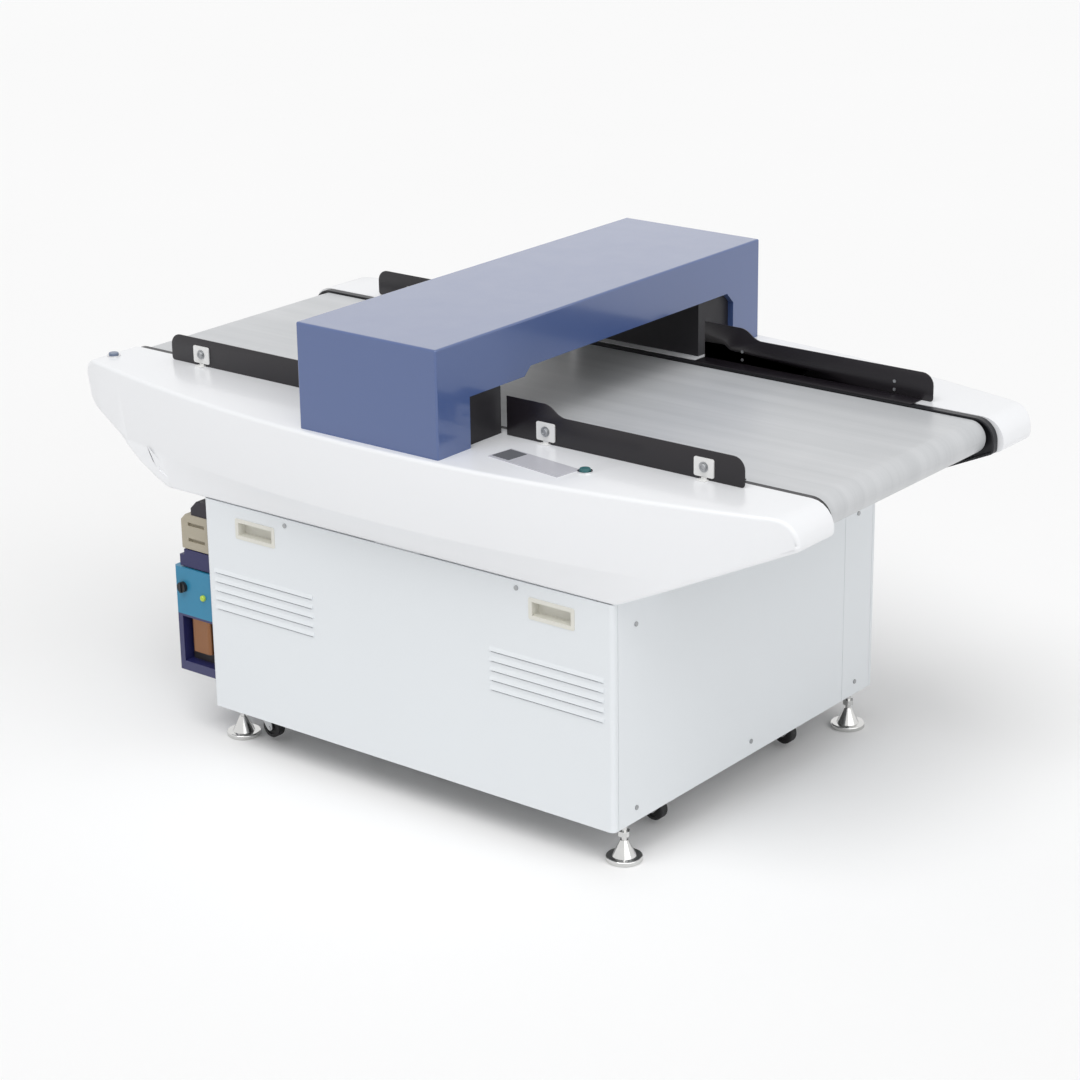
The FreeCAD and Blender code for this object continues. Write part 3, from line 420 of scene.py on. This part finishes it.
# %% One finish for each material slot
BLUE = (0.060, 0.105, 0.270)
finishes = {
    "frame_paint": powder_coat("frame_paint", (0.60, 0.62, 0.64), 0.45),
    "zinc_sheet": zinc_plate("zinc_sheet", (0.62, 0.63, 0.64)),
    "cabinet_white": powder_coat("cabinet_white", (0.755, 0.785, 0.81), 0.42, patchy=0.012),
    "console_white": powder_coat("console_white", (0.855, 0.865, 0.885), 0.30, 0.00003, 0.3,
                                 patchy=0.01),
    "pull_plastic": moulding("pull_plastic", (0.72, 0.71, 0.65)),
    "screw_steel": worked_metal("screw_steel", (0.42, 0.43, 0.44)),
    "black_steel": powder_coat("black_steel", (0.012, 0.012, 0.015), 0.40, patchy=0.2),
    "guide_black": powder_coat("guide_black", (0.010, 0.008, 0.011), 0.34, patchy=0.2),
    "bracket_white": powder_coat("bracket_white", (0.80, 0.80, 0.79), 0.4),
    "bed_steel": worked_metal("bed_steel", (0.64, 0.65, 0.66), (1, 40, 40)),
    "belt_grey": belting("belt_grey"),
    "bearing_iron": cast_metal("bearing_iron", (0.05, 0.05, 0.055), 0.3),
    "roller_steel": worked_metal("roller_steel", (0.60, 0.61, 0.62), (1, 60, 1)),
    "drive_rubber": soft_rubber("drive_rubber", (0.02, 0.02, 0.02)),
    "motor_paint": cast_metal("motor_paint", (0.10, 0.16, 0.24), 0.0, 0.45),
    "head_blue": powder_coat("head_blue", BLUE, 0.30, 0.00004, 1.0, patchy=0.03),
    "liner_black": moulding("liner_black", (0.010, 0.009, 0.012), 0.5),
    "coil_resin": cast_metal("coil_resin", (0.25, 0.23, 0.19), 0.0, 0.6),
    "membrane_grey": moulding("membrane_grey", (0.54, 0.54, 0.58), 0.3, 0.00002, 1500.0),
    "display_dark": moulding("display_dark", (0.16, 0.165, 0.18), 0.12, 0.000005, 400.0),
    "collar_chrome": polished_chrome("collar_chrome", (0.72, 0.72, 0.73)),
    "button_teal": moulding("button_teal", (0.025, 0.13, 0.14), 0.25, 0.00001),
    "button_blue": moulding("button_blue", (0.16, 0.20, 0.29), 0.25, 0.00001),
    "chassis_navy": powder_coat("chassis_navy", (0.020, 0.022, 0.10), 0.35, coat=0.3),
    "inverter_cyan": moulding("inverter_cyan", (0.025, 0.21, 0.36), 0.35),
    "knob_black": moulding("knob_black", (0.012, 0.012, 0.014), 0.4),
    "lamp_green": moulding("lamp_green", (0.42, 0.58, 0.06), 0.15, 0.00001),
    "relay_navy": moulding("relay_navy", (0.02, 0.02, 0.09), 0.4),
    "contactor_beige": moulding("contactor_beige", (0.40, 0.36, 0.28), 0.45),
    "cap_black": moulding("cap_black", (0.016, 0.013, 0.022), 0.45),
    "core_black": laminated_core("core_black"),
    "winding_copper": copper_winding("winding_copper"),
    "foot_chrome": polished_chrome("foot_chrome", (0.66, 0.66, 0.65)),
    "castor_steel": zinc_plate("castor_steel", (0.5, 0.51, 0.52)),
    "castor_black": soft_rubber("castor_black", (0.014, 0.014, 0.015)),
}
slot_of = {part["node"]: part["material_slot"] for part in frame["record"]["subparts"]}
for node_name, node in cad_nodes.items():
    node.data.materials.clear()
    node.data.materials.append(finishes[slot_of[node_name]])
print(len(finishes), "finishes on", len(cad_nodes), "nodes")

# %% [markdown]
# ## Tools for making pieces
#
# Every new piece is made in a bmesh and then turned into an object by one helper, which
# closes its seams, turns its faces outwards, shades it smooth but keeps edges sharper
# than an angle, hangs it on the body it rides on, and hides the CAD nodes it stands for.

# %% From a bmesh to a finished piece
def make_piece(name, shape, slot, body="cabinet", replaced=(), crisp=35, weld=1e-6):
    bmesh.ops.remove_doubles(shape, verts=shape.verts, dist=weld)
    bmesh.ops.recalc_face_normals(shape, faces=shape.faces)
    data = bpy.data.meshes.new(name)
    shape.to_mesh(data)
    shape.free()
    data.polygons.foreach_set("use_smooth", [True] * len(data.polygons))
    data.set_sharp_from_angle(angle=math.radians(crisp))
    data.materials.append(finishes[slot])
    piece = bpy.data.objects.new(name, data)
    bpy.context.scene.collection.objects.link(piece)
    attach(piece, body)
    if replaced:
        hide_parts(*replaced)
    print(name, "has", len(data.polygons), "faces")
    return piece


def moved_copies(shape, new_verts, offsets):
    """Repeats the vertices' geometry at each offset."""
    faces = list({face for vert in new_verts for face in vert.link_faces})
    edges = list({edge for vert in new_verts for edge in vert.link_edges})
    for offset in offsets:
        copy = bmesh.ops.duplicate(shape, geom=list(new_verts) + edges + faces)["geom"]
        verts = [item for item in copy if isinstance(item, bmesh.types.BMVert)]
        bmesh.ops.translate(shape, verts=verts, vec=offset)


# %% [markdown]
# Three shapes make nearly everything on a machine like this: a block with softened edges,
# a plate cut to an outline with rounded corners, and a turned part. Blender's cube could
# be scaled by hand each time, but a helper keeps the bevel's settings the same, because a
# bevel that changes from part to part is what makes a model look like separate toys.

# %% Blocks, plates and turned parts
def soften(shape, edges, radius, segments=2):
    return bmesh.ops.bevel(shape, geom=edges, offset=radius, segments=segments, profile=0.5,
                           affect="EDGES", material=-1, clamp_overlap=True)


def block(shape, low, high, radius=0.0, segments=2):
    """A box between two corners, with rounded edges."""
    low, high = Vector(low), Vector(high)
    size = high - low
    made = bmesh.ops.create_cube(shape, size=1.0)["verts"]
    bmesh.ops.scale(shape, verts=made, vec=size)
    bmesh.ops.translate(shape, verts=made, vec=(low + high) / 2)
    if radius > 0:
        edges = list({edge for vert in made for edge in vert.link_edges})
        made = [item for item in soften(shape, edges, radius, segments)["verts"]]
    return made


def plate(shape, corners, lift, place):
    """A plate whose outline goes through (a, b, radius) corners; place maps a, b to a point."""
    verts = [shape.verts.new(place(a, b)) for a, b, radius in corners]
    shape.faces.new(verts)
    island = set(verts)
    for vert, (a, b, radius) in zip(verts, corners):
        if radius > 0:
            round_off = bmesh.ops.bevel(shape, geom=[vert], offset=radius, segments=6,
                                        profile=0.5, affect="VERTICES", material=-1)
            island.discard(vert)
            island.update(round_off["verts"])
    island = {vert for vert in island if vert.is_valid}
    face = next(iter({f for vert in island for f in vert.link_faces}))
    risen = bmesh.ops.extrude_face_region(shape, geom=[face], use_keep_orig=True)["geom"]
    top = [item for item in risen if isinstance(item, bmesh.types.BMVert)]
    bmesh.ops.translate(shape, verts=top, vec=lift)
    return list(island | set(top))


def turned(shape, profile, place, steps=32):
    """A turned part; profile is (radius, height) points, place puts its Z axis on the machine."""
    made = [shape.verts.new((radius, 0, height)) for radius, height in profile]
    edges = [shape.edges.new(pair) for pair in zip(made, made[1:])]
    spun = bmesh.ops.spin(shape, geom=made + edges, cent=(0, 0, 0), axis=(0, 0, 1),
                          angle=math.tau, steps=steps, use_merge=True)
    verts = set(made)
    todo = list(made)
    while todo:
        for edge in todo.pop().link_edges:
            for vert in edge.verts:
                if vert not in verts:
                    verts.add(vert)
                    todo.append(vert)
    verts = list(verts)
    bmesh.ops.transform(shape, matrix=place, verts=verts)
    return verts


def facing(point, direction):
    """A placement at the point whose Z axis looks along the direction."""
    turn = Vector(direction).to_track_quat("Z", "Y").to_matrix().to_4x4()
    return Matrix.Translation(point) @ turn


print("piece helpers ready")

# %% [markdown]
# ## Levels read from the frame
#
# A number typed twice soon disagrees with itself, so the heights that the pieces share
# are read from the boxes of the CAD nodes.

# %% Heights and faces
console_low, console_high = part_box("near_console")
belt_low, belt_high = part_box("conveyor_belt")
panel_low, panel_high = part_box("front_panel")
head_low, head_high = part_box("head_cover")
CONSOLE_TOP = console_high.z
BELT_TOP = belt_high.z
CABINET_TOP = panel_high.z
CABINET_FLOOR = panel_low.z
CABINET_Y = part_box("output_end_panel")[1].y + 0.0165
HEAD_TOP = head_high.z
HEAD_X = head_high.x
print("console", round(CONSOLE_TOP, 4), "belt", round(BELT_TOP, 4), "cabinet", round(CABINET_TOP, 4),
      "head", round(HEAD_TOP, 4))

# %% [markdown]
# ## The consoles
#
# The two white shells beside the belt carry the controls and hide the drive. Seen from
# the side each is a boat, with a rounded nose and a rising keel, and seen from above its
# outer wall bows out. A sculpted surface could follow that, but its edges would wander.
# Instead the side view is drawn as one flat face with rounded corners, drawn out across
# the machine, and sliced at regular stations; then each outer point slides in or out to
# the bow, and only then is the long edge rounded. The slices keep the wall smooth.

# %% The console's outline and bow
NOSE_X = console_high.x
CONSOLE_IN = 0.317
BOW_MIDDLE = -console_low.y
BOW_END = BOW_MIDDLE - 0.1335
LEAN = 0.024
CREASE = CONSOLE_TOP - 0.164
KEEL = CABINET_TOP
KEEL_SLOPE = 0.46
RISE_INPUT, RISE_OUTPUT = 0.660, 0.552
EDGE_ROUND = 0.011


def bow(x):
    """Outer wall's distance from the middle plane at the top edge."""
    depth = BOW_MIDDLE - BOW_END
    radius = (NOSE_X ** 2 + depth ** 2) / (2 * depth)
    return BOW_END + math.sqrt(radius ** 2 - x ** 2) - (radius - depth)


def outer_wall(x, z):
    """The wall leans in from the top edge to the crease, then to the cabinet's face."""
    top = bow(x)
    if z >= CREASE:
        return top - LEAN * (CONSOLE_TOP - z) / (CONSOLE_TOP - CREASE)
    share = (z - KEEL) / (CREASE - KEEL)
    return CABINET_Y + (top - LEAN - CABINET_Y) * share


def console_shell(side):
    shell = bmesh.new()
    end_low = {-1: KEEL + KEEL_SLOPE * (NOSE_X - RISE_INPUT), 1: KEEL + KEEL_SLOPE * (NOSE_X - RISE_OUTPUT)}
    outline = [(-RISE_INPUT, KEEL, 0.007), (-NOSE_X, end_low[-1], 0.030), (-NOSE_X, CONSOLE_TOP, 0.050),
               (NOSE_X, CONSOLE_TOP, 0.050), (NOSE_X, end_low[1], 0.010), (RISE_OUTPUT, KEEL, 0.007)]
    plate(shell, outline, (0, -0.3, 0), lambda a, b: (a, -CONSOLE_IN, b))
    cuts = [((station * 0.05, 0, 0), (1, 0, 0)) for station in range(-18, 19)]
    cuts.append(((0, 0, CREASE), (0, 0, 1)))
    for point, normal in cuts:
        bmesh.ops.bisect_plane(shell, geom=shell.verts[:] + shell.edges[:] + shell.faces[:],
                               plane_co=point, plane_no=normal, dist=1e-6)
    outer = [vert for vert in shell.verts if vert.co.y < -CONSOLE_IN - 0.1]
    for vert in outer:
        vert.co.y = -outer_wall(vert.co.x, vert.co.z)
    rim = []
    for edge in shell.edges:
        if edge.verts[0] in outer and edge.verts[1] in outer and len(edge.link_faces) == 2:
            if edge.calc_face_angle(0) > 0.7:
                rim.append(edge)
    return shell, rim


trial, trial_rim = console_shell(-1)
print("console blank:", len(trial.faces), "faces,", len(trial_rim), "rim edges")
trial.free()

# %% [markdown]
# The blank is solid. The real console is a moulded shell, open towards the belt with a
# lip all round, where the black side frame closes it. So the long edge is rounded, the
# crease is broken slightly, the inner side is inset and opened, and a wall is given.

# %% Round, open and thicken the shells
def finish_console(side):
    shell, rim = console_shell(side)
    soften(shell, rim, EDGE_ROUND, 5)
    crease = [edge for edge in shell.edges
              if all(abs(vert.co.z - CREASE) < 1e-4 and vert.co.y < -CONSOLE_IN - 0.1
                     for vert in edge.verts)]
    soften(shell, crease, 0.005, 3)
    inner = [face for face in shell.faces if face.normal.y > 0.99]
    bmesh.ops.inset_region(shell, faces=inner, thickness=0.018, use_boundary=True,
                           use_even_offset=True)
    bmesh.ops.delete(shell, geom=inner, context="FACES")
    bmesh.ops.recalc_face_normals(shell, faces=shell.faces)
    bmesh.ops.solidify(shell, geom=shell.faces[:], thickness=0.003)
    if side > 0:
        bmesh.ops.scale(shell, vec=(1, -1, 1), verts=shell.verts)
    name = "near" if side < 0 else "far"
    return make_piece("console_shell_" + name, shell, "console_white",
                      replaced=[name + "_console"], crisp=50)


near_shell = finish_console(-1)
far_shell = finish_console(1)


def drill(piece, places, radius, low, high):
    """Cuts round holes through a finished piece."""
    bit = bmesh.new()
    for x, y in places:
        turned(bit, [(0, low), (radius, low), (radius, high), (0, high)],
               Matrix.Translation((x, y, 0)), 40)
    bmesh.ops.remove_doubles(bit, verts=bit.verts, dist=1e-6)
    bmesh.ops.recalc_face_normals(bit, faces=bit.faces)
    data = bpy.data.meshes.new("drill")
    bit.to_mesh(data)
    bit.free()
    tool = bpy.data.objects.new("drill", data)
    bpy.context.scene.collection.objects.link(tool)
    cut = piece.modifiers.new("holes", "BOOLEAN")
    cut.operation = "DIFFERENCE"
    cut.solver = "EXACT"
    cut.object = tool
    bpy.context.view_layer.update()
    cut_mesh = bpy.data.meshes.new_from_object(
        piece.evaluated_get(bpy.context.evaluated_depsgraph_get()))
    piece.modifiers.clear()
    piece.data = cut_mesh
    bpy.data.objects.remove(tool)


button_centres = []
for button in ("start_button", "stop_button"):
    low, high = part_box(button)
    button_centres.append(((low.x + high.x) / 2, (low.y + high.y) / 2))
drill(near_shell, button_centres, 0.013, CONSOLE_TOP - 0.02, CONSOLE_TOP + 0.02)
print("holes for the push buttons at", [tuple(round(v, 3) for v in c) for c in button_centres])

# %% [markdown]
# ## Side guides
#
# Four black plates keep the goods on the belt. Each is sheet steel with one long corner
# cut round, a hump where it meets the head, and a foot folded under it. The plate is cut
# to its outline and its edges are softened, because real sheet has a broken edge that
# catches a thin line of light.

# %% Cut and fold the guides
GUIDE_Y = 0.345
SHEET = 0.003
GUIDE_START = HEAD_X + 0.003
guide_low, guide_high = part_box("near_guides")
GUIDE_END = guide_high.x


def guide_blank(shape, x_sign, y_sign):
    foot = CONSOLE_TOP
    outline = [(GUIDE_START, foot, 0), (GUIDE_END, foot, 0.007), (GUIDE_END, foot + 0.060, 0.026),
               (0.322, foot + 0.060, 0.012), (0.292, foot + 0.082, 0.012),
               (GUIDE_START, foot + 0.082, 0)]
    made = plate(shape, outline, (0, SHEET, 0), lambda a, b: (a, -GUIDE_Y, b))
    edges = list({edge for vert in made if vert.is_valid for edge in vert.link_edges
                  if edge.calc_face_angle(0) > 1.0})
    soften(shape, edges, 0.0006, 2)
    block(shape, (GUIDE_START, -GUIDE_Y + SHEET, foot), (GUIDE_END - 0.026, -0.3003, foot + SHEET),
          0.0006)
    if x_sign < 0 or y_sign > 0:
        bmesh.ops.scale(shape, vec=(x_sign, -y_sign, 1), verts=shape.verts)


for y_sign, name in ((-1, "near"), (1, "far")):
    pair = bmesh.new()
    for x_sign in (-1, 1):
        one = bmesh.new()
        guide_blank(one, x_sign, y_sign)
        data = bpy.data.meshes.new("guide")
        one.to_mesh(data)
        one.free()
        pair.from_mesh(data)
        bpy.data.meshes.remove(data)
    make_piece("side_guides_" + name, pair, "guide_black", replaced=[name + "_guides"])

# %% [markdown]
# ## Guide brackets
#
# Each guide is held by two white clamps. A clamp is a small bent plate with a thumb nut on
# its face; the real clamp's slot, which lets the guide be set across the belt, is not cut.
# The nut is the grey square spot that shows on the white plate from across the room.

# %% Bend the brackets and fit their nuts
def bracket(shape, x):
    low = CONSOLE_TOP + 0.006
    plate(shape, [(x - 0.023, low, 0.004), (x + 0.023, low, 0.004), (x + 0.023, low + 0.038, 0.004),
                  (x - 0.023, low + 0.038, 0.004)], (0, -0.0025, 0), lambda a, b: (a, -GUIDE_Y, b))
    block(shape, (x - 0.006, -GUIDE_Y - 0.0025, CONSOLE_TOP), (x + 0.006, -GUIDE_Y, low + 0.001), 0.0004)
    block(shape, (x - 0.011, -GUIDE_Y - 0.014, CONSOLE_TOP), (x + 0.011, -GUIDE_Y, CONSOLE_TOP + 0.002),
          0.0006)


def thumb_nut(shape, x, z):
    face = -GUIDE_Y - 0.0025
    where = facing((x, face, z), (0, -1, 0))
    turned(shape, [(0, 0), (0.0105, 0), (0.0105, 0.0012), (0.0075, 0.0012), (0.0075, 0.005),
                   (0.0068, 0.006), (0.004, 0.006), (0.0035, 0.0045), (0, 0.0045)], where, 24)


clamps = bmesh.new()
nuts = bmesh.new()
for x in (0.286, 0.668):
    bracket(clamps, x)
    thumb_nut(nuts, x, CONSOLE_TOP + 0.026)
for shape in (clamps, nuts):
    whole = shape.verts[:] + shape.edges[:] + shape.faces[:]
    bmesh.ops.mirror(shape, geom=whole, axis="X", merge_dist=-1)
    whole = shape.verts[:] + shape.edges[:] + shape.faces[:]
    bmesh.ops.mirror(shape, geom=whole, axis="Y", merge_dist=-1)
make_piece("guide_clamps", clamps, "bracket_white", replaced=["guide_brackets"])
make_piece("clamp_nuts", nuts, "screw_steel")
